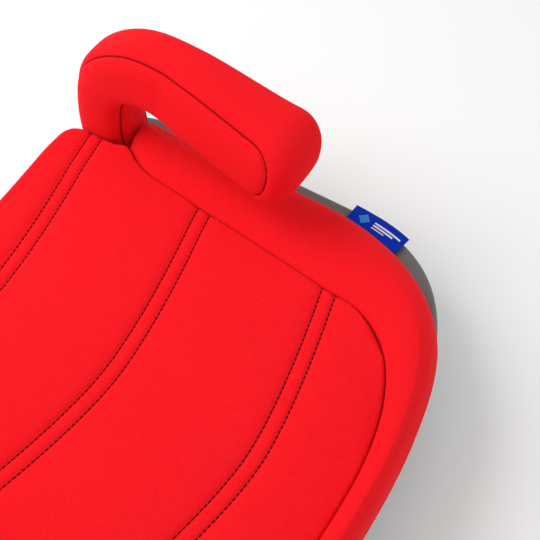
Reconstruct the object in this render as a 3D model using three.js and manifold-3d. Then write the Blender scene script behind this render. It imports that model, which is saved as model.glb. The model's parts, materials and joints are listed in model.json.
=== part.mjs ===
// A backless child's booster cushion for a car, with padded armrests and pull-out anchor connectors.
// Millimetres, +Z up, front towards -Y, +X to the right. The origin is under the middle, on the ground.
import * as THREE from 'three';
import { mergeVertices } from 'three/addons/utils/BufferGeometryUtils.js';
import Module from 'manifold-3d';

const wasm = await Module();
wasm.setup();

// ---- driving dimensions ----
const GAP = 0.4;               // clearance between pieces that touch
const SHELL_HALF_WIDTH = 227;
const SHELL_FRONT = -184;
const SHELL_REAR = 176;
const SHELL_BOTTOM = 3;
const DECK_TOP = 70;           // flat top of the plastic shell
const DECK_THICK = 4;
const WALL = 3.5;
const HEM_HALF_WIDTH = 209.5;  // widest line of the fabric bolster
const HEM_FRONT = -193;
const SEAM_HALF_WIDTH = 133.5;
const SEAM_FRONT = -171;
const BOLSTER_REAR = 112;
const CROWN_TOP = 103.5;       // highest line of the bolster
const SEAM_TOP = 97.5;         // sunken seam between bolster and centre panel
const LIP_DROP = 16;           // how far the front roll hangs below its side hem
const SEAT_MIDDLE_TOP = 90;    // centre of the dished panel
const PANEL_BOTTOM = 84.4;
const PANEL_REAR = 166;
const ARM_NOSE = -45;          // front end of an armrest
const ARM_HALF_HEIGHT = 29;
const ARM_OUTER = 212;
const POST_Y = 142;            // middle of the post that carries an armrest
const ARM_PADDING = 11;
const ANCHOR_HALF_SPACING = 140;
const CONNECTOR_Z = 28;
const CONNECTOR_REAR = 194;
const HEAD_FRONT = 134;        // front end of a connector head
const HEAD_HALF_WIDTH = 14;
const HEAD_HALF_HEIGHT = 20;
const THROAT_LENGTH = 20;
const THROAT_HALF_HEIGHT = 6;
const FOOT_RADIUS = 14;
const ROUND = 14;              // sides of a small round piece

const materials = {
  fabric: new THREE.MeshStandardMaterial({ color: 0xe8131f, roughness: 0.85, metalness: 0 }),
  shell: new THREE.MeshStandardMaterial({ color: 0x6c6a68, roughness: 0.55, metalness: 0 }),
  foam: new THREE.MeshStandardMaterial({ color: 0xd9d5c9, roughness: 0.95, metalness: 0 }),
  label: new THREE.MeshStandardMaterial({ color: 0x0a3cae, roughness: 0.6, metalness: 0 }),
  rubber: new THREE.MeshStandardMaterial({ color: 0x222222, roughness: 0.8, metalness: 0 }),
  steel: new THREE.MeshStandardMaterial({ color: 0xa9adb2, roughness: 0.35, metalness: 1 }),
  moulding: new THREE.MeshStandardMaterial({ color: 0x2b2b2d, roughness: 0.5, metalness: 0 }),
  button: new THREE.MeshStandardMaterial({ color: 0x2f9a3c, roughness: 0.45, metalness: 0 }),
};

const seat = new THREE.Group();

// ---- turning geometry into solids and back ----
function toSolid(geometry) {
  const bare = new THREE.BufferGeometry();
  bare.setAttribute('position', geometry.getAttribute('position'));
  if (geometry.index) bare.setIndex(geometry.index);
  const merged = mergeVertices(bare, 1e-4);
  return new wasm.Manifold(new wasm.Mesh({
    numProp: 3,
    vertProperties: new Float32Array(merged.getAttribute('position').array),
    triVerts: new Uint32Array(merged.index.array),
  }));
}

function toGeometry(solid) {
  const mesh = solid.getMesh();
  const geometry = new THREE.BufferGeometry();
  geometry.setAttribute('position', new THREE.BufferAttribute(new Float32Array(mesh.vertProperties), 3));
  geometry.setIndex(new THREE.BufferAttribute(new Uint32Array(mesh.triVerts), 1));
  geometry.computeVertexNormals();
  return geometry;
}

function add(name, solid, material) {
  const mesh = new THREE.Mesh(toGeometry(solid), material);
  mesh.name = name;
  seat.add(mesh);
}

// Skins a list of rings that have the same number of points, and closes both ends with flat caps.
function loft(rings) {
  const count = rings[0].length;
  const positions = [];
  for (const ring of rings) for (const p of ring) positions.push(p.x, p.y, p.z);
  const faces = [];
  for (let r = 0; r < rings.length - 1; r += 1) {
    for (let i = 0; i < count; i += 1) {
      const j = (i + 1) % count;
      const a = r * count + i;
      const b = r * count + j;
      faces.push(a, b, b + count, a, b + count, a + count);
    }
  }
  const last = (rings.length - 1) * count;
  for (const [a, b, c] of capTriangles(rings[0])) faces.push(c, b, a);
  for (const [a, b, c] of capTriangles(rings[rings.length - 1])) faces.push(last + a, last + b, last + c);
  if (signedVolume(positions, faces) < 0) {
    for (let i = 0; i < faces.length; i += 3) [faces[i], faces[i + 1]] = [faces[i + 1], faces[i]];
  }
  const geometry = new THREE.BufferGeometry();
  geometry.setAttribute('position', new THREE.BufferAttribute(new Float32Array(positions), 3));
  geometry.setIndex(faces);
  return toSolid(geometry);
}

// Triangles over a flat ring, turned the same way as the ring.
function capTriangles(ring) {
  const normal = new THREE.Vector3();
  ring.forEach((p, i) => {
    const q = ring[(i + 1) % ring.length];
    normal.x += (p.y - q.y) * (p.z + q.z);
    normal.y += (p.z - q.z) * (p.x + q.x);
    normal.z += (p.x - q.x) * (p.y + q.y);
  });
  normal.normalize();
  const across = Math.abs(normal.z) < 0.9 ? new THREE.Vector3(0, 0, 1) : new THREE.Vector3(1, 0, 0);
  const u = new THREE.Vector3().crossVectors(across, normal).normalize();
  const v = new THREE.Vector3().crossVectors(normal, u);
  return THREE.ShapeUtils.triangulateShape(ring.map((p) => new THREE.Vector2(p.dot(u), p.dot(v))), []);
}

function signedVolume(positions, faces) {
  const [a, b, c] = [new THREE.Vector3(), new THREE.Vector3(), new THREE.Vector3()];
  let total = 0;
  for (let i = 0; i < faces.length; i += 3) {
    a.fromArray(positions, faces[i] * 3);
    b.fromArray(positions, faces[i + 1] * 3);
    c.fromArray(positions, faces[i + 2] * 3);
    total += a.dot(b.cross(c));
  }
  return total;
}

function box(x0, x1, y0, y1, z0, z1) {
  const geometry = new THREE.BoxGeometry(x1 - x0, y1 - y0, z1 - z0);
  geometry.translate((x0 + x1) / 2, (y0 + y1) / 2, (z0 + z1) / 2);
  return toSolid(geometry);
}

// A turned piece. The profile lists [radius, height] pairs from the axis back to the axis.
function turned(profile, place, axis = 'z') {
  const points = profile.map(([r, h]) => new THREE.Vector2(r, h));
  const geometry = new THREE.LatheGeometry(points, ROUND);
  if (axis === 'z') geometry.rotateX(Math.PI / 2);
  if (axis === 'x') geometry.rotateZ(-Math.PI / 2);
  geometry.translate(...place);
  return toSolid(geometry);
}

function rod(radius, from, to, place, axis = 'z') {
  return turned([[0, from], [radius, from], [radius, to], [0, to]], place, axis);
}

// ---- plan outlines ----
const signedPower = (value, power) => Math.sign(value) * Math.abs(value) ** power;

// A point of the front half of a plan outline. t runs from -1 at the left to 1 at the right.
function frontPoint(t, halfWidth, front, middle, power) {
  const angle = (t * Math.PI) / 2;
  const x = halfWidth * signedPower(Math.sin(angle), 2 / power);
  const y = middle - (middle - front) * Math.abs(Math.cos(angle)) ** (2 / power);
  return new THREE.Vector2(x, y);
}

// The closed outline of the shell, pulled in by an inset.
const SHELL_MIDDLE = -40;
const SHELL_POWER = 2.9;
const SHELL_CORNER = 62;
function shellOutline(inset, z) {
  const ring = [];
  const half = SHELL_HALF_WIDTH - inset;
  const rear = SHELL_REAR - inset;
  const corner = SHELL_CORNER - inset / 2;
  const frontSteps = 32;
  const cornerSteps = 8;
  for (let i = 0; i <= frontSteps; i += 1) {
    ring.push(frontPoint((2 * i) / frontSteps - 1, half, SHELL_FRONT + inset, SHELL_MIDDLE, SHELL_POWER));
  }
  for (const side of [1, -1]) {
    for (let i = 0; i <= cornerSteps; i += 1) {
      const along = side === 1 ? i : cornerSteps - i;
      const angle = (along / cornerSteps) * (Math.PI / 2);
      const x = side * (half - corner + corner * Math.cos(angle));
      ring.push(new THREE.Vector2(x, rear - corner + corner * Math.sin(angle)));
    }
  }
  return ring.map((p) => new THREE.Vector3(p.x, p.y, z));
}

// The U of the seat cover: s runs from -1, rear left, through 0, front middle, to 1, rear right.
const FRONT_SHARE = 0.55;
function uPoint(s, halfWidth, front, middle, power, flare) {
  if (Math.abs(s) <= FRONT_SHARE) return frontPoint(s / FRONT_SHARE, halfWidth, front, middle, power);
  const along = (Math.abs(s) - FRONT_SHARE) / (1 - FRONT_SHARE);
  const y = middle + along * (BOLSTER_REAR - middle);
  return new THREE.Vector2(Math.sign(s) * (halfWidth + flare(y)), y);
}

// The seam widens a little towards the rear, and swings outwards in front of the armrest post.
const SEAM_MIDDLE = -88;
const seamFlare = (y) => 0.115 * (y - SEAM_MIDDLE) + 12 * Math.max(0, (y - 76) / 36) ** 2;
const seamPoint = (s) => uPoint(s, SEAM_HALF_WIDTH, SEAM_FRONT, SEAM_MIDDLE, 2.45, seamFlare);
const hemPoint = (s) => uPoint(s, HEM_HALF_WIDTH, HEM_FRONT, SHELL_MIDDLE, 2.65, () => 0);
const rimPoint = (s) => uPoint(s, SHELL_HALF_WIDTH, SHELL_FRONT, SHELL_MIDDLE, SHELL_POWER, () => 0);

const U_STEPS = 44;
const uStations = [];
for (let i = 0; i <= U_STEPS; i += 1) uStations.push((2 * i) / U_STEPS - 1);

// Sweeps a section round the U. From the width between seam and hem, and the distance from the seam
// to the shell's rim, the section gives [distance from the seam, height] for each corner.
function sweepU(section) {
  return loft(uStations.map((s) => {
    const seam = seamPoint(s);
    const hem = hemPoint(s);
    const out = hem.clone().sub(seam);
    const width = out.length();
    out.normalize();
    const rim = rimPoint(s).sub(seam).dot(out);
    return section(width, rim).map(([distance, z]) => {
      const p = seam.clone().addScaledVector(out, distance);
      return new THREE.Vector3(p.x, p.y, z);
    });
  }));
}

const clamp = (value) => Math.min(1, Math.max(0, value));
const lipShare = (width, rim) => clamp((width - rim - 3) / 5);
const hemHeight = (width, rim) => DECK_TOP + 3 - LIP_DROP * lipShare(width, rim);

// ---- shell, bottom plate, feet and screws ----
const wallProfile = [[30, SHELL_BOTTOM], [25, 8], [14, 30], [5.5, 50], [1.4, 59.5], [0, 66], [1.3, 68.8], [4.5, DECK_TOP]];
const bottomScrewPlaces = [[-120, -110], [120, -110], [-95, 120], [95, 120]];
const armScrewPlaces = [[190, 135.5], [190, 148.5]];

function shell() {
  let body = loft(wallProfile.map(([inset, z]) => shellOutline(inset, z)));
  const inside = wallProfile.slice(1, 6).map(([inset, z]) => shellOutline(inset + WALL, z));
  inside[inside.length - 1].forEach((p) => { p.z = DECK_TOP - DECK_THICK; });
  inside.unshift(shellOutline(wallProfile[0][0] + WALL, SHELL_BOTTOM - 1));
  body = body.subtract(loft(inside));
  for (const [x, y] of bottomScrewPlaces) {
    body = body.add(rod(6, 7.4, DECK_TOP - 2, [x, y, 0])).subtract(rod(2, 0, 24, [x, y, 0]));
  }
  for (const side of [-1, 1]) {
    const x = side * ANCHOR_HALF_SPACING;
    const half = HEAD_HALF_WIDTH + 2.5;
    body = body.subtract(box(x - half, x + half, 126, 190, 7.4, CONNECTOR_Z + HEAD_HALF_HEIGHT + 2.5));
    for (const [screwX, screwY] of armScrewPlaces) {
      body = body.subtract(rod(2.5, DECK_TOP - 8, DECK_TOP + 1, [side * screwX, screwY, 0]));
    }
  }
  return body;
}
add('base_shell', shell(), materials.shell);

const plateInset = wallProfile[0][0] + WALL + 1.4;
let plate = loft([shellOutline(plateInset, SHELL_BOTTOM), shellOutline(plateInset - 1, 7)]);
for (const [x, y] of bottomScrewPlaces) {
  plate = plate.subtract(turned([[0, 2], [4.6, 2], [4.6, 4.6], [2.2, 7.2], [0, 7.2]], [x, y, 0]));
}
add('bottom_plate', plate, materials.moulding);

bottomScrewPlaces.forEach(([x, y], i) => {
  const screw = turned([[0, 3.4], [4, 3.4], [4, 4.3], [1.6, 6.8], [1.6, 20], [0, 22]], [x, y, 0]);
  add(`bottom_screw_${i + 1}`, screw, materials.steel);
});

for (const [place, y] of [['front', -110], ['rear', 100]]) {
  for (const [hand, side] of [['left', -1], ['right', 1]]) {
    const profile = [[0, 0], [FOOT_RADIUS - 1, 0], [FOOT_RADIUS, 1], [FOOT_RADIUS, 2.7], [0, 2.7]];
    add(`foot_${place}_${hand}`, turned(profile, [side * 155, y, 0]), materials.rubber);
  }
}

// ---- seat cover and foam ----
function bolsterSection(width, rim) {
  const hem = hemHeight(width, rim);
  const lip = lipShare(width, rim);
  const inner = lip > 0 ? rim + 0.9 : width - 5;
  const front = 1 - clamp((width - 30) / 30);
  const roll = Math.min(1, width / 60);
  const crown = CROWN_TOP - 4 * front;
  const seam = SEAM_TOP - 6 * front;
  return [
    [0, DECK_TOP + GAP],
    [inner - 0.4, DECK_TOP + GAP],
    [inner, Math.min(hem, DECK_TOP + 2.8)],
    [width - 1.5 + lip, hem + 0.6],
    [width, hem + 6],
    [width - 4.5 * roll, crown - 15.5],
    [width - 11 * roll, crown - 8],
    [width - 20 * roll, crown - 3],
    [width * 0.58, crown],
    [width * 0.36, crown - 0.4],
    [width * 0.14, crown - 2.6],
    [0.6, seam],
    [0, seam - 3],
  ];
}
add('seat_bolster', sweepU(bolsterSection), materials.fabric);

function hemSection(width, rim) {
  const hem = hemHeight(width, rim);
  const lip = lipShare(width, rim);
  const inner = lip > 0 ? Math.max(rim + 0.9, width - 4) : width - 4;
  return [[inner, hem - 2.4], [width - 0.5, hem - 2.4], [width - 0.5, hem - 0.5], [inner, hem - 0.5]];
}
add('cover_hem', sweepU(hemSection), materials.fabric);

// The closed outline of the centre panel: inside the bolster, then past the armrest posts.
function panelOutline(inset, z) {
  const ring = uStations.map((s) => {
    const p = seamPoint(s);
    const out = hemPoint(s).sub(p).normalize();
    return p.addScaledVector(out, -inset - 0.5);
  });
  const half = 160 - inset;
  const corner = 16;
  const neck = [half + 1.5, BOLSTER_REAR + 4.5];
  for (const side of [1, -1]) {
    if (side === 1) ring.push(new THREE.Vector2(neck[0], neck[1]));
    for (let i = 0; i <= 4; i += 1) {
      const angle = ((side === 1 ? i : 4 - i) / 4) * (Math.PI / 2);
      const x = side * (half - corner + corner * Math.cos(angle));
      ring.push(new THREE.Vector2(x, PANEL_REAR - inset - corner + corner * Math.sin(angle)));
    }
    if (side === -1) ring.push(new THREE.Vector2(-neck[0], neck[1]));
  }
  return ring.map((p) => new THREE.Vector3(p.x, p.y, z));
}

function panelTop(x, y) {
  const across = Math.min(1, (x / 130) ** 2);
  const frontFall = 5 * clamp((-130 - y) / 45) ** 2;
  return SEAT_MIDDLE_TOP + 9 * across - frontFall;
}

function panelRings() {
  const edge = panelOutline(0, 0);
  const rings = [panelOutline(0, PANEL_BOTTOM)];
  rings.push(edge.map((p) => new THREE.Vector3(p.x, p.y, panelTop(p.x, p.y) - 3)));
  for (const share of [0.975, 0.85, 0.62, 0.36, 0.12]) {
    rings.push(edge.map((p) => {
      const x = p.x * share;
      const y = -5 + (p.y + 5) * share;
      return new THREE.Vector3(x, y, panelTop(x, y));
    }));
  }
  rings[rings.length - 1].forEach((p) => { p.z = SEAT_MIDDLE_TOP; });
  return rings;
}
add('seat_panel', loft(panelRings()), materials.fabric);
add('seat_foam', loft([panelOutline(1, DECK_TOP + GAP), panelOutline(1, PANEL_BOTTOM - GAP)]), materials.foam);

// ---- label: a folded ribbon caught in the side hem, lying out over the rim ----
const LABEL_FRONT = -109;
const LABEL_REAR = -57;
const LABEL_REACH = 21.5;
function label() {
  const rings = [];
  const stations = [];
  for (let s = 0.3; s < 0.8; s += 0.004) {
    const y = hemPoint(s).y;
    if (y > LABEL_FRONT && y < LABEL_REAR) stations.push(s);
  }
  const steps = 8;
  for (let i = 0; i <= steps; i += 1) {
    const s = stations[Math.round((i / steps) * (stations.length - 1))];
    const hem = hemPoint(s);
    const out = rimPoint(s).sub(hemPoint(s)).normalize();
    const far = hem.clone().addScaledVector(out, LABEL_REACH);
    const near = hem.clone().addScaledVector(out, 0.6 + 1.2);
    rings.push([
      new THREE.Vector3(near.x, near.y, DECK_TOP + 3.2), new THREE.Vector3(far.x, far.y, DECK_TOP + 2.2),
      new THREE.Vector3(far.x, far.y, DECK_TOP + 3.2), new THREE.Vector3(near.x, near.y, DECK_TOP + 4.2),
    ]);
  }
  return loft(rings);
}
add('side_label', label(), materials.label);

// ---- armrests: a plastic horn inside a padded sleeve ----
const armPath = new THREE.CatmullRomCurve3([
  new THREE.Vector3(0, ARM_NOSE, 151), new THREE.Vector3(0, 0, 157), new THREE.Vector3(0, 60, 167),
  new THREE.Vector3(0, 102, 168), new THREE.Vector3(0, 132, 148), new THREE.Vector3(0, POST_Y, 112),
  new THREE.Vector3(0, POST_Y, DECK_TOP + GAP),
], false, 'centripetal');
const ARM_STATIONS = 20;
const ARM_POINTS = 18;
const NOSE_LENGTH = 26;

// One cross-section of the horn, pulled in by a padding thickness.
function armRing(share, side, padding, noseStart) {
  const at = armPath.getPointAt(share);
  const along = armPath.getTangentAt(share);
  const distance = share * armPath.getLength() - noseStart;
  const swell = Math.sqrt(1 - (1 - clamp(distance / NOSE_LENGTH)) ** 2);
  const post = clamp((at.y - 60) / 80);
  const half = (ARM_HALF_HEIGHT - 5 * post - padding) * Math.max(0.04, swell);
  const inner = 141 + 20 * clamp((at.y - ARM_NOSE) / 120) + 5 * post;
  const lean = 0.3 * (1 - post);
  const centre = (inner + ARM_OUTER) / 2 + 2 * (1 - post);
  const up = new THREE.Vector3(0, -along.z, along.y);
  const ring = [];
  for (let i = 0; i < ARM_POINTS; i += 1) {
    const angle = (i / ARM_POINTS) * Math.PI * 2;
    const v = half * signedPower(Math.sin(angle), 2 / 3);
    const halfWidth = ((ARM_OUTER - inner) / 2 - padding - 2 * (1 - post)) * Math.max(0.04, swell ** 0.6);
    const taper = (lean * (v / ARM_HALF_HEIGHT)) * 9;
    const u = (halfWidth - taper) * signedPower(Math.cos(angle), 2 / 3) + taper;
    const p = at.clone().addScaledVector(up, v);
    ring.push(new THREE.Vector3(side * (centre + u), p.y, p.z));
  }
  return ring;
}

function armSolid(side, padding, start, bottomExtra) {
  const rings = [];
  const noseStart = start * armPath.getLength();
  for (let i = 0; i <= ARM_STATIONS; i += 1) {
    const share = start + (1 - start) * (i / ARM_STATIONS) ** 1.25;
    rings.push(armRing(Math.min(1, share), side, padding, noseStart));
  }
  if (bottomExtra) rings.push(rings[ARM_STATIONS].map((p) => p.clone().setZ(p.z - bottomExtra)));
  return loft(rings);
}

for (const [hand, side] of [['left', -1], ['right', 1]]) {
  const cavity = armSolid(side, ARM_PADDING, 0.045, 3);
  add(`armrest_cover_${hand}`, armSolid(side, 0, 0, 0).subtract(cavity), materials.fabric);
  let core = armSolid(side, ARM_PADDING + GAP, 0.05, 0);
  armScrewPlaces.forEach(([x, y]) => { core = core.subtract(rod(2.3, 0, 86, [side * x, y, 0])); });
  add(`armrest_core_${hand}`, core, materials.moulding);
  armScrewPlaces.forEach(([x, y], i) => {
    const head = DECK_TOP - DECK_THICK - GAP;
    const screw = turned([[0, head - 3], [4.5, head - 3], [4.5, head], [1.9, head], [1.9, 83], [0, 85]], [side * x, y, 0]);
    add(`armrest_screw_${hand}_${i + 1}`, screw, materials.steel);
  });
}

// ---- anchor connectors: two steel arms on one crossbar, with moulded heads ----
const ARM_BAR_HALF_WIDTH = 10;
const ARM_BAR_HALF_HEIGHT = 7;
const CROSSBAR_FRONT = -62;
const CROSSBAR_DEPTH = 14;
const RUNNING_GAP = 0.6;       // clearance round a sliding arm or a turning jaw
const CHANNEL_FRONT = 28;
const CHANNEL_REAR = 130;

function connectorFrame() {
  const [z0, z1] = [CONNECTOR_Z - ARM_BAR_HALF_HEIGHT, CONNECTOR_Z + ARM_BAR_HALF_HEIGHT];
  const reach = ANCHOR_HALF_SPACING + ARM_BAR_HALF_WIDTH;
  let frame = box(-reach, reach, CROSSBAR_FRONT, CROSSBAR_FRONT + CROSSBAR_DEPTH, z0, z1);
  for (const side of [-1, 1]) {
    const x = side * ANCHOR_HALF_SPACING;
    const half = ARM_BAR_HALF_WIDTH;
    frame = frame.add(box(x - half, x + half, CROSSBAR_FRONT + 2, HEAD_FRONT - GAP, z0, z1));
  }
  return frame;
}
add('connector_frame', connectorFrame(), materials.steel);

function channel(x) {
  const [half, wall] = [ARM_BAR_HALF_WIDTH + RUNNING_GAP, 3.4];
  const room = ARM_BAR_HALF_HEIGHT + RUNNING_GAP;
  const [low, high] = [CONNECTOR_Z - room, CONNECTOR_Z + room];
  return box(x - half - wall, x + half + wall, CHANNEL_FRONT, CHANNEL_REAR, 7.4, high + wall)
    .subtract(box(x - half, x + half, CHANNEL_FRONT - 1, CHANNEL_REAR + 1, low, high));
}

// Side view of a closed outline, pushed through in X. Points are [y, z].
function slab(points, x0, x1) {
  const shape = new THREE.Shape(points.map(([y, z]) => new THREE.Vector2(y, z)));
  const geometry = new THREE.ExtrudeGeometry(shape, { depth: x1 - x0, bevelEnabled: false });
  geometry.applyMatrix4(new THREE.Matrix4().set(0, 0, 1, x0, 1, 0, 0, 0, 0, 1, 0, 0, 0, 0, 0, 1));
  return toSolid(geometry);
}

const JAW_PIVOT = [CONNECTOR_REAR - 28, CONNECTOR_Z + 13];
const JAW_HALF_THICK = 4;
const PIN_RADIUS = 2;
const PIN_BORE_RADIUS = 2.4;
const PIN_HALF_LENGTH = 13.4;
const THROUGH = 20;            // half length of a cutter that passes right through a head or a jaw
const BUTTON_PLACE = [CONNECTOR_REAR - 9, CONNECTOR_Z + 13];
const BUTTON_MIDDLE = 12.5;    // middle of a button, outwards from the middle of its head

function head(x, side) {
  const [low, high] = [CONNECTOR_Z - HEAD_HALF_HEIGHT, CONNECTOR_Z + HEAD_HALF_HEIGHT];
  const [mouth, rear] = [CONNECTOR_REAR - THROAT_LENGTH, CONNECTOR_REAR];
  const t = THROAT_HALF_HEIGHT;
  const outline = [
    [HEAD_FRONT, low + 3], [HEAD_FRONT + 3, low], [rear - 6, low], [rear, low + 5], [rear, CONNECTOR_Z - t - 3],
    [rear - 3, CONNECTOR_Z - t], [mouth, CONNECTOR_Z - t], [mouth, CONNECTOR_Z + t], [rear - 3, CONNECTOR_Z + t],
    [rear, CONNECTOR_Z + t + 3], [rear, high - 5], [rear - 6, high], [HEAD_FRONT + 3, high], [HEAD_FRONT, high - 3],
  ];
  let body = slab(outline, x - HEAD_HALF_WIDTH, x + HEAD_HALF_WIDTH);
  const slot = JAW_HALF_THICK + RUNNING_GAP;
  body = body.subtract(box(x - slot, x + slot, JAW_PIVOT[0] - 9, rear + 1, CONNECTOR_Z - t, high + 1));
  body = body.subtract(rod(PIN_BORE_RADIUS, -THROUGH, THROUGH, [x, ...JAW_PIVOT], 'x'));
  const outer = x + side * (BUTTON_MIDDLE - 2.5);
  return body.subtract(rod(4.4, -8, 8, [outer, ...BUTTON_PLACE], 'x'));
}

// The hook: a bar with a rounded pivot eye and a short down-turned tip.
function jaw(x) {
  const [py, pz] = JAW_PIVOT;
  const outline = [];
  for (let i = 0; i <= 8; i += 1) {
    const angle = Math.PI / 2 + (i / 8) * Math.PI;
    outline.push([py + 5 * Math.cos(angle), pz + 5 * Math.sin(angle)]);
  }
  outline.push([py + 14, pz - 4.2], [py + 18, pz - 4.4], [py + 24, pz - 5], [py + 26, pz - 2]);
  outline.push([py + 25, pz + 2.5], [py + 20, pz + 4.5]);
  return slab(outline, x - JAW_HALF_THICK, x + JAW_HALF_THICK)
    .subtract(rod(PIN_BORE_RADIUS, -THROUGH, THROUGH, [x, py, pz], 'x'));
}

for (const [hand, side] of [['left', -1], ['right', 1]]) {
  const x = side * ANCHOR_HALF_SPACING;
  add(`connector_channel_${hand}`, channel(x), materials.moulding);
  add(`connector_head_${hand}`, head(x, side), materials.moulding);
  add(`connector_jaw_${hand}`, jaw(x), materials.steel);
  add(`jaw_pin_${hand}`, rod(PIN_RADIUS, -PIN_HALF_LENGTH, PIN_HALF_LENGTH, [x, ...JAW_PIVOT], 'x'), materials.steel);
  const profile = [[0, -4.5], [4, -4.5], [4, 3.6], [3, 4.5], [0, 4.5]];
  const cap = side === 1 ? profile : profile.map(([r, h]) => [r, -h]).reverse();
  const place = [x + side * BUTTON_MIDDLE, ...BUTTON_PLACE];
  add(`release_button_${hand}`, turned(cap, place, 'x'), materials.button);
}

export default seat;
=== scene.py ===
"""A backless child's car booster cushion: knitted cover, padded armrests, plastic shell and connectors.

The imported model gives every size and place. Each operator below makes one piece or one group of like
pieces in metres, in the model's own frame: front towards -Y, +X to the right, +Z up.
"""
import json
import math

import bpy
import numpy as np
from bpy.props import FloatProperty, FloatVectorProperty, PointerProperty
from mathutils import Matrix, Vector
from mathutils.bvhtree import BVHTree

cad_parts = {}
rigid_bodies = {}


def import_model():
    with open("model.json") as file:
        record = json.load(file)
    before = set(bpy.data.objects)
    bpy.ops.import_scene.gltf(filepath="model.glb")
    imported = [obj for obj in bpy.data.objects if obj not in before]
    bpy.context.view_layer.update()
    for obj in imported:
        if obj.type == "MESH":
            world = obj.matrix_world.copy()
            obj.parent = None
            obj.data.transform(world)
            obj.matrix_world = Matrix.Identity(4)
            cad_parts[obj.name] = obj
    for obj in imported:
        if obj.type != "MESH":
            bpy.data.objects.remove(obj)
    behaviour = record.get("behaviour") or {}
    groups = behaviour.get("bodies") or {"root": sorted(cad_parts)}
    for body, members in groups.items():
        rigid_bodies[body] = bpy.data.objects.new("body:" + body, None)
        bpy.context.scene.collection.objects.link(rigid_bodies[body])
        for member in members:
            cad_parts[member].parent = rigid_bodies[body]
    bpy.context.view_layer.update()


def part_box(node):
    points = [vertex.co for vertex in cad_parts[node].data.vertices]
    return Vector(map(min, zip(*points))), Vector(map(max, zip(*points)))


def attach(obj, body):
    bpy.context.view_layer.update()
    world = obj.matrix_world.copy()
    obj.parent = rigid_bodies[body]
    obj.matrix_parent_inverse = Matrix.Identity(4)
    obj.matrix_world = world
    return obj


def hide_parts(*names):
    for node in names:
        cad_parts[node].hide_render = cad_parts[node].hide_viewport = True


bl_info = {
    "name": "Car Booster Cushion",
    "version": (1, 0, 0),
    "blender": (4, 5, 0),
    "location": "View3D > Sidebar > Booster",
    "description": "Builds the soft cover, shell, label and fittings of a child's car booster cushion",
    "category": "Object",
}

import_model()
MM = 0.001

# ---- sizes read from the frame ----
BOLSTER_LOW, BOLSTER_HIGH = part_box("seat_bolster")
PANEL_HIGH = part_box("seat_panel")[1]
SHELL_LOW, SHELL_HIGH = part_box("base_shell")
LABEL_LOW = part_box("side_label")[0]
DECK = SHELL_HIGH.z                     # flat top of the shell
HEM_HALF = BOLSTER_HIGH.x
HEM_FRONT = BOLSTER_LOW.y
COVER_REAR = BOLSTER_HIGH.y             # rear end of the bolster
END_REACH = 5 * MM                      # how much further the soft end reaches, up to the armrest post
CROWN = BOLSTER_HIGH.z
PANEL_REAR = PANEL_HIGH.y
SHELL_HALF = SHELL_HIGH.x
SHELL_MIDDLE = -40 * MM                 # where the sides end and the rounded front begins
SHELL_POWER = 2.9
HEM_POWER = 2.65
SEAM_HALF = 133.5 * MM
SEAM_FRONT = -171 * MM
SEAM_MIDDLE = -88 * MM
SEAM_POWER = 2.45
SEAM_HEIGHT = CROWN - 6 * MM
SEAT_MIDDLE = 90 * MM                   # height of the dished middle
HANDS = (("left", -1), ("right", 1))


# ---- settings ----
class CoverSettings(bpy.types.PropertyGroup):
    """Fabric cover, its stitching and its padding."""

    fabric: FloatVectorProperty(
        name="Fabric", description="Colour of the knitted cover", subtype="COLOR",
        default=(0.87, 0.008, 0.014), min=0, max=1)
    thread: FloatVectorProperty(
        name="Thread", description="Colour of the stitching", subtype="COLOR",
        default=(0.020, 0.002, 0.004), min=0, max=1)
    stitch: FloatProperty(
        name="Stitch", description="Length of one stitch", default=3.1 * MM, unit="LENGTH")
    stitch_gap: FloatProperty(
        name="Gap", description="Gap between two stitches", default=0.7 * MM, unit="LENGTH")
    pair: FloatProperty(
        name="Pair", description="Distance between the two rows of a pair", default=10.9 * MM, unit="LENGTH")
    channel: FloatProperty(
        name="Channel", description="How deep a stitch row pulls the cover in",
        default=2.8 * MM, unit="LENGTH")
    pressure: FloatProperty(
        name="Pressure", description="How hard the padding swells the cover", default=4.0, min=0, max=20)


class ShellSettings(bpy.types.PropertyGroup):
    """Plastic shell and fittings."""

    plastic: FloatVectorProperty(
        name="Shell", description="Colour of the shell", subtype="COLOR",
        default=(0.135, 0.13, 0.124), min=0, max=1)
    moulding: FloatVectorProperty(
        name="Moulding", description="Colour of the dark plastic parts", subtype="COLOR",
        default=(0.022, 0.022, 0.024), min=0, max=1)
    steel: FloatVectorProperty(
        name="Steel", description="Colour of the plated steel", subtype="COLOR",
        default=(0.56, 0.57, 0.58), min=0, max=1)
    button: FloatVectorProperty(
        name="Button", description="Colour of the release buttons", subtype="COLOR",
        default=(0.02, 0.28, 0.05), min=0, max=1)
    edge: FloatProperty(
        name="Edge", description="Radius of the edges of moulded parts", default=1.1 * MM, unit="LENGTH")


class LabelSettings(bpy.types.PropertyGroup):
    """Woven side label."""

    ribbon: FloatVectorProperty(
        name="Ribbon", description="Colour of the ribbon", subtype="COLOR",
        default=(0.0, 0.030, 0.45), min=0, max=1)
    mark: FloatVectorProperty(
        name="Mark", description="Colour of the woven bars", subtype="COLOR",
        default=(0.85, 0.88, 0.92), min=0, max=1)
    accent: FloatVectorProperty(
        name="Accent", description="Colour of the woven lozenge", subtype="COLOR",
        default=(0.05, 0.27, 0.75), min=0, max=1)
    reach: FloatProperty(
        name="Reach", description="How far the label stands out of the hem", default=20 * MM, unit="LENGTH")


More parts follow.
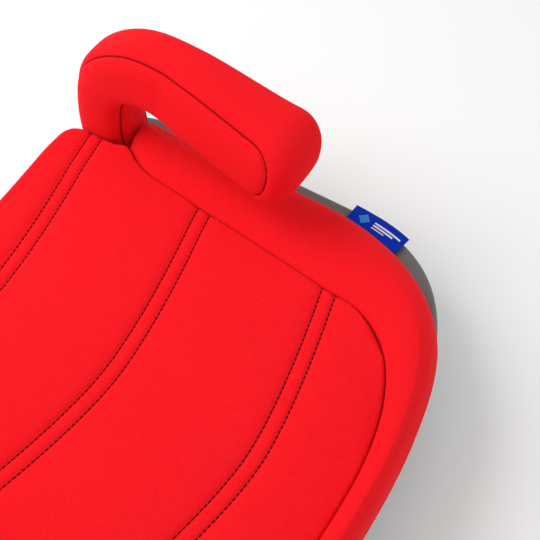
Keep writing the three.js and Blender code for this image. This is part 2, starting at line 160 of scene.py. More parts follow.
class StageSettings(bpy.types.PropertyGroup):
    """Floor, lights and camera."""

    azimuth: FloatProperty(
        name="Azimuth", description="Camera's direction round the seat",
        default=math.radians(-58), subtype="ANGLE", unit="ROTATION")
    elevation: FloatProperty(
        name="Elevation", description="Camera's height above the horizon",
        default=math.radians(55), subtype="ANGLE", unit="ROTATION")
    distance: FloatProperty(
        name="Distance", description="From the camera to the point it looks at", default=0.7, unit="LENGTH")
    lens: FloatProperty(name="Lens", description="Focal length in millimetres", default=66.7)
    target: FloatVectorProperty(
        name="Target", description="The point that the camera looks at", subtype="TRANSLATION",
        default=(0.1223, -0.046, 0.105))
    key: FloatProperty(
        name="Key light", description="Power of the large soft light", default=20.0, unit="POWER")
    fill: FloatProperty(name="Fill light", description="Power of the fill light", default=2.5, unit="POWER")
    sky: FloatProperty(name="Sky", description="Strength of the even white surroundings", default=0.72)


# ---- small helpers ----
def deselect():
    if bpy.context.object and bpy.context.object.mode != "OBJECT":
        bpy.ops.object.mode_set(mode="OBJECT")
    bpy.ops.object.select_all(action="DESELECT")


def pick(obj):
    """Makes obj the only selected and the active object."""
    deselect()
    obj.select_set(True)
    bpy.context.view_layer.objects.active = obj


def named(name):
    """Names the object that an operator has just added."""
    obj = bpy.context.object
    obj.name = name
    obj.data.name = name
    return obj


def get_points(obj):
    points = np.empty(len(obj.data.vertices) * 3)
    obj.data.vertices.foreach_get("co", points)
    return points.reshape(-1, 3)


def set_points(obj, points):
    obj.data.vertices.foreach_set("co", np.asarray(points, np.float32).ravel())
    obj.data.update()


def edit(obj, *steps):
    """Runs edit-mode steps on the whole of obj."""
    pick(obj)
    bpy.ops.object.mode_set(mode="EDIT")
    bpy.ops.mesh.select_all(action="SELECT")
    for step in steps:
        step()
    bpy.ops.object.mode_set(mode="OBJECT")


def apply(obj, kind, **values):
    """Adds a modifier with these values and applies it."""
    pick(obj)
    modifier = obj.modifiers.new(kind.title(), kind)
    for key, value in values.items():
        setattr(modifier, key, value)
    bpy.ops.object.modifier_apply(modifier=modifier.name)


def subdivide(obj, levels):
    if levels:
        apply(obj, "SUBSURF", levels=levels, render_levels=levels)


def smooth(obj, degrees=None):
    pick(obj)
    if degrees is None:
        bpy.ops.object.shade_smooth()
    else:
        bpy.ops.object.shade_smooth_by_angle(angle=math.radians(degrees))


def bake_place(obj):
    """Puts the object's place into its mesh."""
    pick(obj)
    bpy.ops.object.transform_apply(location=True, rotation=True, scale=True)


def finish_piece(obj, body, material, slot, *nodes):
    """Gives a piece its finish and its body, and hides the frame nodes it stands for."""
    obj.data.materials.clear()
    obj.data.materials.append(material)
    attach(obj, body)
    if nodes:
        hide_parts(*nodes)
    return obj


def skin(name, rows, caps=False):
    """A mesh through rows of points, an array (along, around, 3). Ends that coincide are merged."""
    along, around = rows.shape[:2]
    deselect()
    bpy.ops.mesh.primitive_grid_add(x_subdivisions=around - 1, y_subdivisions=along - 1, size=2)
    obj = named(name)
    at = get_points(obj)
    across = np.rint((at[:, 0] + 1) / 2 * (around - 1)).astype(int)
    down = np.rint((at[:, 1] + 1) / 2 * (along - 1)).astype(int)
    set_points(obj, rows[down, across])
    steps = [lambda: bpy.ops.mesh.remove_doubles(threshold=0.01 * MM)]
    if caps:
        steps.append(lambda: bpy.ops.mesh.select_all(action="DESELECT"))
        steps.append(lambda: bpy.ops.mesh.select_non_manifold())
        steps.append(lambda: bpy.ops.mesh.edge_face_add())
        steps.append(lambda: bpy.ops.mesh.select_all(action="SELECT"))
    steps.append(lambda: bpy.ops.mesh.normals_make_consistent(inside=False))
    edit(obj, *steps)
    return obj


def inflate(obj, free, pressure, limit):
    """Swells a closed cover over its padding. Only the points marked free move, by limit at most."""
    if pressure <= 0:
        return
    rest = get_points(obj)
    group = obj.vertex_groups.new(name="sewn")
    group.add([int(i) for i in np.flatnonzero(~free)], 1.0, "REPLACE")
    cloth = obj.modifiers.new("Cloth", "CLOTH")
    cloth.settings.quality = 6
    cloth.settings.mass = 0.3
    cloth.settings.tension_stiffness = 12
    cloth.settings.compression_stiffness = 12
    cloth.settings.bending_stiffness = 1.5
    cloth.settings.use_pressure = True
    cloth.settings.uniform_pressure_force = pressure
    cloth.settings.vertex_group_mass = "sewn"
    cloth.settings.effector_weights.gravity = 0
    cloth.point_cache.frame_start, cloth.point_cache.frame_end = 1, 20
    for number in range(1, 21):
        bpy.context.scene.frame_set(number)
    evaluated = obj.evaluated_get(bpy.context.evaluated_depsgraph_get())
    swollen = get_points(evaluated)
    obj.modifiers.remove(cloth)
    obj.vertex_groups.remove(group)
    bpy.context.scene.frame_set(1)
    move = swollen - rest
    length = np.linalg.norm(move, axis=1, keepdims=True)
    move *= np.minimum(1, limit / np.maximum(length, 1e-9))
    if not np.isfinite(move).all():
        raise RuntimeError(f"{obj.name}: the cover's simulation did not settle")
    set_points(obj, rest + move)


SEAM_SHADE_REACH = 10 * MM
FAINT = 0.38 * MM                       # added to the distance where a seam gets only a faint line of painted shade


# painted shade: this mask marks the seams and stitch rows where the knit is darkened as if shaded by the fold
def mark_seam_shade(obj, distance):
    """Stores where the cover's finish paints shade along seams: 0.5 on a seam line, and further from 0.5 away
    from it.
    """
    made = obj.data.attributes.new("crease", "FLOAT", "POINT")
    made.data.foreach_set("value", (0.5 - 0.5 * np.clip(distance / SEAM_SHADE_REACH, -1, 1)).astype(np.float32))


def normals_of(obj):
    normals = np.empty(len(obj.data.vertices) * 3, np.float32)
    obj.data.vertex_normals.foreach_get("vector", normals)
    return normals.reshape(-1, 3).astype(float)


# ---- outlines ----
def signed_power(value, power):
    return np.sign(value) * np.abs(value) ** power


def front_curve(count, half, front, middle, power):
    """Evenly spaced points round the front half of an outline, from left to right."""
    angle = np.linspace(-math.pi / 2, math.pi / 2, 2001)
    x = half * signed_power(np.sin(angle), 2 / power)
    y = middle - (middle - front) * np.abs(np.cos(angle)) ** (2 / power)
    length = np.concatenate([[0], np.cumsum(np.hypot(np.diff(x), np.diff(y)))])
    even = np.linspace(0, length[-1], count)
    return np.stack([np.interp(even, length, x), np.interp(even, length, y)], axis=1)


def u_curve(half, front, middle, power, flare, side_count, front_count):
    """A U from the rear left, round the front, to the rear right."""
    y = np.linspace(COVER_REAR + END_REACH, middle, side_count, endpoint=False)
    left = np.stack([-(half + flare(np.minimum(y, COVER_REAR))), y], axis=1)
    right = left[::-1] * (-1, 1)
    return np.concatenate([left, front_curve(front_count, half, front, middle, power), right])


def seam_flare(y):
    swing = np.maximum(0, (y - 76 * MM) / (36 * MM)) ** 2
    return 0.115 * (y - SEAM_MIDDLE) + 12 * MM * swing


def straight(y):
    return np.zeros_like(y)


def seam_curve(side_count, front_count):
    return u_curve(SEAM_HALF, SEAM_FRONT, SEAM_MIDDLE, SEAM_POWER, seam_flare, side_count, front_count)


def hem_curve(side_count, front_count):
    return u_curve(HEM_HALF, HEM_FRONT, SHELL_MIDDLE, HEM_POWER, straight, side_count, front_count)


def rim_curve(side_count, front_count):
    return u_curve(SHELL_HALF, SHELL_LOW.y, SHELL_MIDDLE, SHELL_POWER, straight, side_count, front_count)


def shell_outline(inset, corner=62 * MM):
    """The shell's closed outline, pulled in by an inset."""
    half, rear = SHELL_HALF - inset, SHELL_HIGH.y - inset
    corner = corner - inset / 2
    front = front_curve(121, half, SHELL_LOW.y + inset, SHELL_MIDDLE, SHELL_POWER)
    turn = np.linspace(0, math.pi / 2, 17)
    right = np.stack([half - corner + corner * np.cos(turn), rear - corner + corner * np.sin(turn)], axis=1)
    side = np.linspace(SHELL_MIDDLE, rear - corner, 22)[1:-1]
    right = np.concatenate([np.stack([np.full(20, half), side], axis=1), right])
    back = np.linspace(half - corner, -(half - corner), 32)[1:-1]
    back = np.stack([back, np.full(30, rear)], axis=1)
    left = right[::-1] * (-1, 1)
    loop = np.concatenate([front, right, back, left])
    return np.concatenate([loop, loop[:1]])


# ---- materials ----
class Paint:
    """A node material in the making."""

    def __init__(self, name, colour, roughness, **inputs):
        self.material = bpy.data.materials.new(name)
        self.material.use_nodes = True
        self.tree = self.material.node_tree
        self.shader = self.tree.nodes["Principled BSDF"]
        self.shader.inputs["Base Color"].default_value = (*colour, 1)
        self.shader.inputs["Roughness"].default_value = roughness
        for key, value in inputs.items():
            label = key.replace("_", " ").title().replace("Ior", "IOR")
            self.shader.inputs[label].default_value = value
        self.place = self.node("ShaderNodeTexCoord").outputs["Object"]

    def node(self, kind, **values):
        made = self.tree.nodes.new(kind)
        for key, value in values.items():
            setattr(made, key, value)
        return made

    def link(self, source, target):
        self.tree.links.new(source, target)

    def noise(self, scale, detail=2.0, roughness=0.5, stretch=None):
        made = self.node("ShaderNodeTexNoise")
        made.inputs["Scale"].default_value = scale
        made.inputs["Detail"].default_value = detail
        made.inputs["Roughness"].default_value = roughness
        self.link(self.stretched(stretch) if stretch else self.place, made.inputs["Vector"])
        return made.outputs["Fac"]

    def stretched(self, scale, turn=(0, 0, 0)):
        made = self.node("ShaderNodeMapping")
        made.inputs["Scale"].default_value = scale
        made.inputs["Rotation"].default_value = turn
        self.link(self.place, made.inputs["Vector"])
        return made.outputs["Vector"]

    def wave(self, scale, turn=(0, 0, 0), distortion=0.0):
        made = self.node("ShaderNodeTexWave", wave_type="BANDS", bands_direction="X", wave_profile="SIN")
        made.inputs["Scale"].default_value = scale
        made.inputs["Distortion"].default_value = distortion
        self.link(self.stretched((1, 1, 1), turn), made.inputs["Vector"])
        return made.outputs["Fac"]

    def maths(self, operation, first, second):
        made = self.node("ShaderNodeMath", operation=operation)
        for socket, value in zip(made.inputs, (first, second)):
            if isinstance(value, (int, float)):
                socket.default_value = value
            else:
                self.link(value, socket)
        return made.outputs["Value"]

    def span(self, value, low, high, to_low, to_high):
        made = self.node("ShaderNodeMapRange")
        for key, number in zip(("From Min", "From Max", "To Min", "To Max"), (low, high, to_low, to_high)):
            made.inputs[key].default_value = number
        self.link(value, made.inputs["Value"])
        return made.outputs["Result"]

    def mix(self, factor, first, second):
        """Mixes two colours; each is a colour or another mix's output."""
        made = self.node("ShaderNodeMix", data_type="RGBA")
        self.link(factor, made.inputs["Factor"])
        for socket, value in zip((made.inputs[6], made.inputs[7]), (first, second)):
            if isinstance(value, tuple):
                socket.default_value = (*value, 1)
            else:
                self.link(value, socket)
        return made.outputs[2]

    def colour(self, source):
        self.link(source, self.shader.inputs["Base Color"])

    def rough(self, source):
        self.link(source, self.shader.inputs["Roughness"])

    def bump(self, height, distance, strength=1.0, under=None):
        made = self.node("ShaderNodeBump")
        made.inputs["Strength"].default_value = strength
        made.inputs["Distance"].default_value = distance
        self.link(height, made.inputs["Height"])
        if under is not None:
            self.link(under, made.inputs["Normal"])
        self.link(made.outputs["Normal"], self.shader.inputs["Normal"])
        return made.outputs["Normal"]


def shade(colour, factor):
    return tuple(min(1.0, part * factor) for part in colour)


def knit_material(name):
    """Soft double knit: a fine grain, faint ribs, a heathered red, a short nap, and painted shade along the
    seams and stitch rows.
    """
    colour = tuple(bpy.context.scene.booster_cover.fabric)
    paint = Paint(name, colour, 0.9, sheen_weight=0.04, sheen_roughness=0.45, specular_ior_level=0.08)
    paint.shader.inputs["Sheen Tint"].default_value = (1.0, 0.45, 0.4, 1)
    cloudy = paint.span(paint.noise(14, 3), 0.3, 0.7, 0, 1)
    flecks = paint.span(paint.noise(750, 3, 0.7), 0.36, 0.64, 0, 1)
    worn = paint.mix(cloudy, shade(colour, 0.95), colour)
    cloth = paint.mix(flecks, shade(colour, 0.86), worn)
    # painted shade: along seams and stitch rows the knit is darkened to 0.22 of its colour where the fold
    # would shade it; the same lines also sink the bump
    mark = paint.node("ShaderNodeAttribute", attribute_name="crease").outputs["Fac"]
    away = paint.maths("ABSOLUTE", paint.maths("SUBTRACT", mark, 0.5), 0)
    crease = paint.span(away, 0.008, 0.032, 1, 0)
    paint.colour(paint.mix(crease, cloth, shade(colour, 0.22)))
    paint.rough(paint.span(flecks, 0, 1, 0.95, 0.84))
    ribs = paint.maths("MULTIPLY", paint.wave(300, (0, 0, 0.785)), paint.wave(300, (0, 0, -0.785)))
    grain = paint.maths("ADD", paint.maths("MULTIPLY", ribs, 0.5), paint.noise(800, 3, 0.65))
    soft = paint.bump(paint.noise(160, 2), 0.2 * MM, 0.5)
    sunk = paint.bump(paint.maths("SUBTRACT", 1, crease), 0.35 * MM, 0.6, soft)
    paint.bump(grain, 0.24 * MM, 0.7, sunk)
    return paint.material


def thread_material(name):
    """Twisted sewing thread."""
    colour = tuple(bpy.context.scene.booster_cover.thread)
    paint = Paint(name, colour, 0.8, specular_ior_level=0.1)
    twist = paint.wave(900, (0, 0, 0.6))
    paint.colour(paint.mix(twist, shade(colour, 0.6), shade(colour, 1.8)))
    paint.bump(twist, 0.1 * MM, 0.8)
    return paint.material


def plastic_material(name, colour, roughness, grain=900):
    """Moulded plastic with an eroded texture, faint flow marks and slightly polished high spots."""
    paint = Paint(name, colour, roughness, specular_ior_level=0.45)
    cloudy = paint.span(paint.noise(9, 3), 0.3, 0.7, 0, 1)
    specks = paint.span(paint.noise(grain, 3, 0.6), 0.35, 0.65, 0, 1)
    base = paint.mix(cloudy, shade(colour, 0.92), shade(colour, 1.07))
    paint.colour(paint.mix(specks, shade(colour, 0.86), base))
    paint.rough(paint.span(paint.noise(40, 4), 0.3, 0.7, roughness - 0.07, roughness + 0.08))
    paint.bump(paint.noise(grain, 3, 0.6), 0.07 * MM, 0.55)
    return paint.material


def shell_material(name):
    return plastic_material(name, tuple(bpy.context.scene.booster_shell.plastic), 0.5)


def moulding_material(name):
    return plastic_material(name, tuple(bpy.context.scene.booster_shell.moulding), 0.45)


def button_material(name):
    return plastic_material(name, tuple(bpy.context.scene.booster_shell.button), 0.35, 600)


def rubber_material(name):
    return plastic_material(name, (0.018, 0.018, 0.018), 0.8, 500)


def foam_material(name):
    """Open-cell foam."""
    colour = (0.62, 0.58, 0.50)
    paint = Paint(name, colour, 0.95)
    cells = paint.node("ShaderNodeTexVoronoi")
    cells.inputs["Scale"].default_value = 700
    paint.link(paint.place, cells.inputs["Vector"])
    paint.colour(paint.mix(paint.span(cells.outputs["Distance"], 0, 0.7, 0, 1), shade(colour, 0.6), colour))
    paint.bump(cells.outputs["Distance"], 0.5 * MM, 0.8)
    return paint.material


def steel_material(name):
    """Zinc-plated steel with a drawn grain and a mottled passivation."""
    colour = tuple(bpy.context.scene.booster_shell.steel)
    paint = Paint(name, colour, 0.36, metallic=1.0)
    drawn = paint.noise(120, 4, 0.6, (1, 0.04, 1))
    mottled = paint.span(paint.noise(60, 3), 0.35, 0.65, 0, 1)
    paint.colour(paint.mix(mottled, shade(colour, 0.82), colour))
    paint.rough(paint.span(drawn, 0.3, 0.7, 0.28, 0.48))
    paint.bump(drawn, 0.05 * MM, 0.6)
    return paint.material


def label_material(name):
    """Woven satin ribbon with a lozenge and plain bars in contrasting weft, laid out on the UV map."""
    setting = bpy.context.scene.booster_label
    ground, mark, accent = tuple(setting.ribbon), tuple(setting.mark), tuple(setting.accent)
    paint = Paint(name, ground, 0.5, specular_ior_level=0.06)
    split = paint.node("ShaderNodeSeparateXYZ")
    paint.link(paint.tree.nodes["Texture Coordinate"].outputs["UV"], split.inputs["Vector"])
    along, out = paint.maths("SUBTRACT", 1, split.outputs["X"]), split.outputs["Y"]

    def within(value, low, high):
        above = paint.maths("GREATER_THAN", value, low)
        return paint.maths("MULTIPLY", above, paint.maths("LESS_THAN", value, high))

    def bar(start, end, low, high):
        return paint.maths("MULTIPLY", within(along, start, end), within(out, low, high))

    bars = bar(0.42, 0.92, 0.60, 0.68)
    for start, end, low, high in ((0.42, 0.80, 0.46, 0.54), (0.42, 0.66, 0.34, 0.39)):
        bars = paint.maths("ADD", bars, bar(start, end, low, high))
    sideways = paint.maths("ABSOLUTE", paint.maths("SUBTRACT", along, 0.24), 0)
    upward = paint.maths("ABSOLUTE", paint.maths("SUBTRACT", out, 0.56), 0)
    spread = paint.maths("ADD", paint.maths("MULTIPLY", sideways, 2.6), upward)
    lozenge = paint.maths("LESS_THAN", spread, 0.27)
    weave = paint.node("ShaderNodeTexWave", wave_type="BANDS", bands_direction="DIAGONAL")
    weave.inputs["Scale"].default_value = 55
    paint.link(paint.tree.nodes["Texture Coordinate"].outputs["UV"], weave.inputs["Vector"])
    satin = paint.mix(weave.outputs["Fac"], shade(ground, 0.72), shade(ground, 1.15))
    coloured = paint.mix(lozenge, satin, paint.mix(weave.outputs["Fac"], shade(accent, 0.8), accent))
    paint.colour(paint.mix(bars, coloured, paint.mix(weave.outputs["Fac"], shade(mark, 0.86), mark)))
    threads = paint.maths("MULTIPLY", weave.outputs["Fac"], 0.35)
    raised = paint.maths("ADD", threads, paint.maths("ADD", bars, lozenge))
    paint.bump(raised, 0.12 * MM, 0.7)
    return paint.material


MATERIALS = {
    "red_fabric": knit_material,
    "grey_shell": shell_material,
    "dark_moulding": moulding_material,
    "foam": foam_material,
    "woven_label": label_material,
    "foot_rubber": rubber_material,
    "zinc_steel": steel_material,
    "green_button": button_material,
    "thread": thread_material,
}


def finish_named(slot):
    """The finish of a material slot, made when it is first asked for."""
    name = f"{slot}_finish"
    return bpy.data.materials.get(name) or MATERIALS[slot](name)


# ---- the sewn centre panel ----
PANEL_GAP = 0.2 * MM                    # the panel's edge stays this far inside the seam
NECK = (165.5 * MM, 119.5 * MM)         # where the panel passes the armrest post
REAR_HALF = 164.5 * MM
REAR_CORNER = 16 * MM
SKIRT_LOW = DECK + 1 * MM               # foot of the covers' hidden sides
FRONT_CORNER = (108 * MM, -144 * MM)    # where the front edge of the panel turns into its sides
CORNER_POINTS = 21
DISH_HALF = 130 * MM                    # half width over which the seat is dished
DISH_DEPTH = 9 * MM
FALL_START = -130 * MM                  # from here the seat falls away to the front
FALL_LENGTH = 45 * MM
FALL_DEPTH = 5 * MM
GRID_HALF = 150 * MM
GRID_STEP = 5.2 * MM
FRONT_BOW, REAR_BOW = 27 * MM, -5 * MM  # how far the grid bows to the front at the panel's two ends
# each pair of stitch rows: where it meets the side seam, and how far it bows to the front
PAIRS = ((-93 * MM, 21.5 * MM), (21 * MM, 20.4 * MM), (135 * MM, 22 * MM))
ROW_POWER = 1.4                         # below a parabola's 2, so the arcs turn more at the middle
EDGE_STEPS = (0, 0.35, 0.9, 1.8, 3.0, 4.6, 7.0, 10.5)
ROLL = 3.4 * MM                         # radius of the fold beside the sunken seam


def panel_sides():
    """The panel's right edge, from the front corner to the middle of the rear corner, as a fine line."""
    seam = seam_curve(90, 241)
    hem = hem_curve(90, 241)
    out = hem - seam
    out /= np.linalg.norm(out, axis=1, keepdims=True)
    edge = seam - out * PANEL_GAP
    turn = np.linspace(0, math.pi / 2, CORNER_POINTS)
    middle = np.array([REAR_HALF - REAR_CORNER, PANEL_REAR - REAR_CORNER])
    corner = middle + REAR_CORNER * np.stack([np.cos(turn), np.sin(turn)], axis=1)
    right = edge[len(edge) // 2:]
    line = np.concatenate([right, [NECK], [(REAR_HALF, NECK[1] + 2 * MM)], corner])
    return line


def along_line(line, shares):
    """Points at these shares of a line's length."""
    length = np.concatenate([[0], np.cumsum(np.linalg.norm(np.diff(line, axis=0), axis=1))])
    shares = np.asarray(shares, float)
    return np.stack([np.interp(shares * length[-1], length, line[:, i]) for i in (0, 1)], axis=1)


def panel_height(x, y):
    across = np.minimum(1, (x / DISH_HALF) ** 2)
    fall = np.clip((FALL_START - y) / FALL_LENGTH, 0, 1) ** 2
    return SEAT_MIDDLE + DISH_DEPTH * across - FALL_DEPTH * fall


def side_x(y, side):
    """Half width of the panel at a y on its side."""
    return np.interp(y, side[:, 1], side[:, 0])


def row_y(x, end, bow, half):
    """A stitch row: a shallow arc that bows to the front."""
    share = np.clip(x / half, -1, 1) ** 2
    blunt = 0.02
    rise = ((share + blunt) ** (ROW_POWER / 2) - blunt ** (ROW_POWER / 2)) / (
        (1 + blunt) ** (ROW_POWER / 2) - blunt ** (ROW_POWER / 2))
    return end - bow * (1 - rise)


def row_distance(points, end, bow, half):
    """Signed distance of points from a stitch row."""
    step = 0.5 * MM
    x, y = points[:, 0], points[:, 1]
    slope = (row_y(x + step, end, bow, half) - row_y(x - step, end, bow, half)) / (2 * step)
    return (y - row_y(x, end, bow, half)) / np.sqrt(1 + slope ** 2)


def stitch_rows():
    """(end, bow) of each single row."""
    gap = bpy.context.scene.booster_cover.pair
    return [(end + gap * number, bow) for end, bow in PAIRS for number in (0, 1)]


def graded(low, high, step):
    """Values from low to high that close up at both ends."""
    edge = np.array(EDGE_STEPS) * MM
    inside = np.linspace(low + edge[-1], high - edge[-1], max(2, int(round((high - low) / step))))
    return np.concatenate([low + edge[:-1], inside, (high - edge[:-1])[::-1]])


def panel_rows():
    """The grid of the panel, as points (rows, columns, 2)."""
    line = panel_sides()
    front_at = int(np.argmin(np.hypot(*(line - FRONT_CORNER).T)))
    rear_at = len(line) - CORNER_POINTS // 2 - 1
    side = line[front_at:rear_at + 1]
    front = line[:front_at + 1]
    rear = line[rear_at:]
    front = np.concatenate([front[::-1] * (-1, 1), front[1:]])
    rear = np.concatenate([rear, [(0, PANEL_REAR)]])
    rear = np.concatenate([rear * (-1, 1), rear[:-1][::-1]])
    start, end = side[0, 1], side[-1, 1]
    ends = graded(start, end, GRID_STEP)
    for wanted, _ in stitch_rows():
        near = int(np.argmin(np.abs(ends - wanted)))
        ends[near] = wanted
    keys = [start] + [item[0] for item in stitch_rows()] + [end]
    bows = [FRONT_BOW] + [item[1] for item in stitch_rows()] + [REAR_BOW]
    across = graded(-GRID_HALF, GRID_HALF, GRID_STEP) / GRID_HALF
    grid = np.empty((len(ends), len(across), 2))
    first, last = along_line(front, (across + 1) / 2), along_line(rear, (across + 1) / 2)
    for number, y in enumerate(ends):
        half = side_x(y, side)
        x = across * half
        plain = np.stack([x, row_y(x, y, np.interp(y, keys, bows), half)], axis=1)
        to_front = np.clip(1 - (y - start) / (40 * MM), 0, 1) ** 2
        to_rear = np.clip(1 - (end - y) / (12 * MM), 0, 1) ** 2
        first_here = first + (0, y - start)
        last_here = last + (0, y - end)
        grid[number] = plain * (1 - to_front - to_rear) + first_here * to_front + last_here * to_rear
        grid[number, 0] = (-half, y)
        grid[number, -1] = (half, y)
    grid[0], grid[-1] = first, last
    return grid, np.concatenate([front, side[1:], rear[::-1], side[::-1] * (-1, 1)])


def distance_to(points, line):
    """Distance from each point to a fine line."""
    start, end = line[:-1], line[1:]
    step = end - start
    square = np.maximum((step ** 2).sum(axis=1), 1e-14)
    nearest = np.full(len(points), 1e9)
    for a, d, s in zip(start, step, square):
        share = np.clip(((points - a) @ d) / s, 0, 1)
        nearest = np.minimum(nearest, np.hypot(*(points - a - share[:, None] * d).T))
    return nearest


def channels(points, depth):
    """How far the stitch rows pull each point of the panel down, with a small pucker at each stitch."""
    cover = bpy.context.scene.booster_cover
    line = panel_sides()
    pull = np.zeros(len(points))
    for end, bow in stitch_rows():
        x = points[:, 0]
        away = row_distance(points, end, bow, side_x(end, line))
        pull += depth * (0.55 * np.exp(-(away / (1.5 * MM)) ** 2) + 0.45 * np.exp(-(away / (5.5 * MM)) ** 2))
        beat = np.cos(2 * math.pi * x / (cover.stitch + cover.stitch_gap) / 1.5 + end * 900)
        pull += 0.10 * MM * beat * np.exp(-((np.abs(away) - 3.2 * MM) / (2.4 * MM)) ** 2)
    return pull


def skirt(obj, low):
    """Takes the open edge of a sheet straight down to a level."""
    edit(
        obj,
        lambda: bpy.ops.mesh.select_all(action="DESELECT"),
        lambda: bpy.ops.mesh.select_non_manifold(),
        lambda: bpy.ops.mesh.extrude_region_move(TRANSFORM_OT_translate={"value": (0, 0, -8 * MM)}),
        lambda: bpy.ops.mesh.extrude_region_move(TRANSFORM_OT_translate={"value": (0, 0, -0.1)}),
    )
    points = get_points(obj)
    points[:, 2] = np.maximum(points[:, 2], low)
    set_points(obj, points)
    edit(obj, lambda: bpy.ops.mesh.normals_make_consistent(inside=False))
    if normals_of(obj)[:, 2].sum() < 0:
        edit(obj, lambda: bpy.ops.mesh.flip_normals())


def close_open_edge(obj):
    edit(
        obj,
        lambda: bpy.ops.mesh.select_all(action="DESELECT"),
        lambda: bpy.ops.mesh.select_non_manifold(),
        lambda: bpy.ops.mesh.edge_face_add(),
        lambda: bpy.ops.mesh.select_all(action="SELECT"),
        lambda: bpy.ops.mesh.normals_make_consistent(inside=False),
    )


class BOOSTER_OT_panel(bpy.types.Operator):
    """Centre panel of the seat, dished, edged by a sunken seam and crossed by three pairs of stitch rows"""

    bl_idname = "booster.panel"
    bl_label = "Centre panel"

    def execute(self, context):
        cover = context.scene.booster_cover
        grid, outline = panel_rows()
        rows, columns = grid.shape[:2]
        points = grid.reshape(-1, 2)
        edge = distance_to(points, outline)
        fold = ROLL * (1 - np.sqrt(1 - np.clip(1 - edge / ROLL, 0, 1) ** 2))
        height = panel_height(points[:, 0], points[:, 1]) - fold
        sheet = np.concatenate([points, height[:, None]], axis=1)
        obj = skin("seat_panel_cover", sheet.reshape(rows, columns, 3))
        skirt(obj, SKIRT_LOW)
        at = get_points(obj)
        edge = distance_to(at[:, :2], outline)
        free = (edge > 2.0 * MM) & (at[:, 2] > SEAT_MIDDLE - 8 * MM)
        half = panel_sides()
        for end, bow in stitch_rows():
            free &= np.abs(row_distance(at, end, bow, side_x(end, half))) > 1.2 * MM
        inflate(obj, free, cover.pressure, 2.2 * MM)
        subdivide(obj, 2)
        at = get_points(obj)
        top = normals_of(obj)[:, 2] > 0.2
        at[top, 2] -= channels(at[top, :2], cover.channel)
        ripple = 0.10 * MM * np.sin(at[:, 0] * 210 + np.sin(at[:, 1] * 60) * 2) * np.sin(at[:, 1] * 170)
        at[top, 2] += ripple[top]
        set_points(obj, at)
        # painted shade: faint along the panel's edge seam, stronger along every stitch row
        rows_away = [np.abs(row_distance(at, end, bow, side_x(end, half))) for end, bow in stitch_rows()]
        mark_seam_shade(obj, np.minimum.reduce([distance_to(at[:, :2], outline) + FAINT, *rows_away]))
        close_open_edge(obj)
        smooth(obj)
        finish_piece(obj, "base", finish_named("red_fabric"), "red_fabric", "seat_panel", "seat_foam")
        return {"FINISHED"}


class BOOSTER_OT_stitching(bpy.types.Operator):
    """Rows of single stitches in the panel's channels"""

    bl_idname = "booster.stitching"
    bl_label = "Stitching"

    def execute(self, context):
        cover = context.scene.booster_cover
        deselect()
        bpy.ops.mesh.primitive_uv_sphere_add(segments=8, ring_count=5, radius=0.5)
        stitch = named("stitch")
        edit(stitch, lambda: bpy.ops.transform.rotate(
            value=math.pi / 2, orient_axis="Y", center_override=(0, 0, 0)))
        points = get_points(stitch)
        points = np.sign(points) * np.abs(points / 0.5) ** (0.6, 0.9, 0.9) * 0.5
        points *= (cover.stitch, 0.95 * MM, 0.75 * MM)
        set_points(stitch, points)
        smooth(stitch)
        panel = bpy.data.objects["seat_panel_cover"]
        tree = BVHTree.FromObject(panel, bpy.context.evaluated_depsgraph_get())
        line = panel_sides()
        copies = []
        pitch = cover.stitch + cover.stitch_gap
        for end, bow in stitch_rows():
            half = side_x(end, line)
            x = np.linspace(-half + 2.2 * MM, half - 2.2 * MM, 801)
            row = np.stack([x, row_y(x, end, bow, half)], axis=1)
            length = np.linalg.norm(np.diff(row, axis=0), axis=1).sum()
            shares = (np.arange(int(length / pitch)) + 0.5) / int(length / pitch)
            centres = along_line(row, shares)
            nexts = along_line(row, np.minimum(1, shares + 0.5 * pitch / length))
            befores = along_line(row, np.maximum(0, shares - 0.5 * pitch / length))
            for centre, after, before in zip(centres, nexts, befores):
                ends = []
                for place in (before, after, centre):
                    hit, normal, _, _ = tree.ray_cast(Vector((*place, 0.2)), Vector((0, 0, -1)))
                    ends.append((hit, normal))
                along = (ends[1][0] - ends[0][0]).normalized()
                up = ends[2][1]
                across = up.cross(along).normalized()
                up = along.cross(across).normalized()
                turn = Matrix((along, across, up)).transposed().to_4x4()
                copy = stitch.copy()
                copy.data = stitch.data.copy()
                copy.data.transform(Matrix.Translation(ends[2][0] + up * 0.12 * MM) @ turn)
                bpy.context.collection.objects.link(copy)
                copies.append(copy)
        bpy.data.objects.remove(stitch)
        deselect()
        for copy in copies:
            copy.select_set(True)
        bpy.context.view_layer.objects.active = copies[0]
        bpy.ops.object.join()
        obj = named("seat_stitching")
        finish_piece(obj, "base", finish_named("thread"), "red_fabric")
        return {"FINISHED"}


# ---- the bolster ----
def stations(side_count, front_count):
    """Seam point, direction to the hem, width and rim distance round the U."""
    seam, hem = seam_curve(side_count, front_count), hem_curve(side_count, front_count)
    rim = rim_curve(side_count, front_count)
    out = hem - seam
    width = np.linalg.norm(out, axis=1)
    out /= width[:, None]
    return seam, out, width, ((rim - seam) * out).sum(axis=1)


# how far the bolster stands out from its hem line, as (y of the hem line, amount) in millimetres
SWELL = (
    (-193, -1.0), (-188, -1.5), (-180, 1.0), (-172, 2.5), (-160, 1.6), (-145, -0.5),
    (-125, -2.5), (-95, -3.2), (-60, -1.2), (-30, 0.0),
)


def swell_at(y):
    places, amounts = np.array(SWELL).T * MM
    return np.interp(y, places, amounts)


def hem_place(width, rim):
    lip = np.clip((width - rim - 1.5 * MM) / (8.5 * MM), 0, 1)
    lip = lip * lip * (3 - 2 * lip)
    return DECK + 3 * MM - 16 * MM * lip, lip


